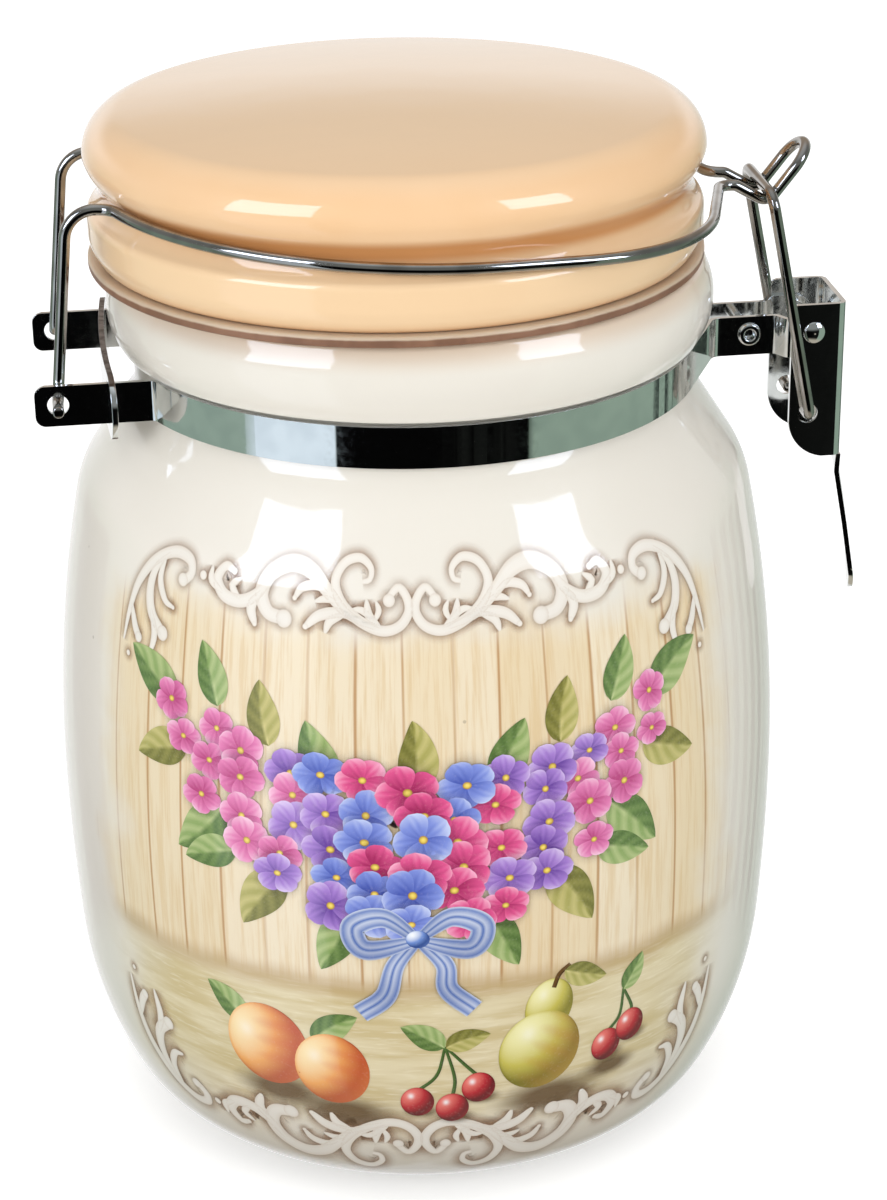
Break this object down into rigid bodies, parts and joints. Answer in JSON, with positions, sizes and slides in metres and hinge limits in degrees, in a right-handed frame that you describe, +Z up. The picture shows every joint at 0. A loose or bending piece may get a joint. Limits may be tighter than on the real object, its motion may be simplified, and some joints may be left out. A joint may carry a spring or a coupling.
{
  "type": "ceramic clip-top storage jar",
  "caption": "glazed ceramic storage jar with a domed lid, rubber seal, wire lid bail and toggle lever clasp; stands on a foot ring",
  "frame": {"origin": "on the jar's axis, in the plane of the foot ring", "axes": "+Z up, -Y the picture side, -X the hinge, +X the clasp"},
  "size_m": [0.119, 0.104, 0.1516],
  "materials": {
    "jar_glaze": "cream glaze with a printed band",
    "lid_glaze": "peach glaze",
    "seal_rubber": "translucent brown",
    "clip_plating": "bright plated steel"
  },
  "bodies": {
    "jar": {"jar_body": "jar_glaze", "neck_band_front": "clip_plating", "neck_band_back": "clip_plating", "hinge_keeper": "clip_plating", "band_rivet": "clip_plating", "lever_rivet_front": "clip_plating", "lever_rivet_back": "clip_plating"},
    "lid": {"lid": "lid_glaze", "lid_gasket": "seal_rubber", "lid_bail": "clip_plating"},
    "lever": {"latch_lever": "clip_plating"},
    "latch": {"latch_wire": "clip_plating"}
  },
  "joints": [
    {"name": "lid_hinge", "type": "hinge", "parent": "jar", "child": "lid", "pos_m": [-0.0494, 0, 0.1147], "axis": [0, -1, 0], "range_deg": [0, 180]},
    {"name": "lever_pivot", "type": "hinge", "parent": "jar", "child": "lever", "pos_m": [0.0563, 0, 0.1155], "axis": [0, -1, 0], "range_deg": [0, 105]},
    {"name": "latch_wire_pivot", "type": "hinge", "parent": "lever", "child": "latch", "pos_m": [0.0558, 0, 0.1035], "axis": [0, -1, 0], "range_deg": [-161, 0]}
  ],
  "couplings": [
    {"joint": "latch_wire_pivot", "follows": "lever_pivot", "ratio": -1.53}
  ]
}
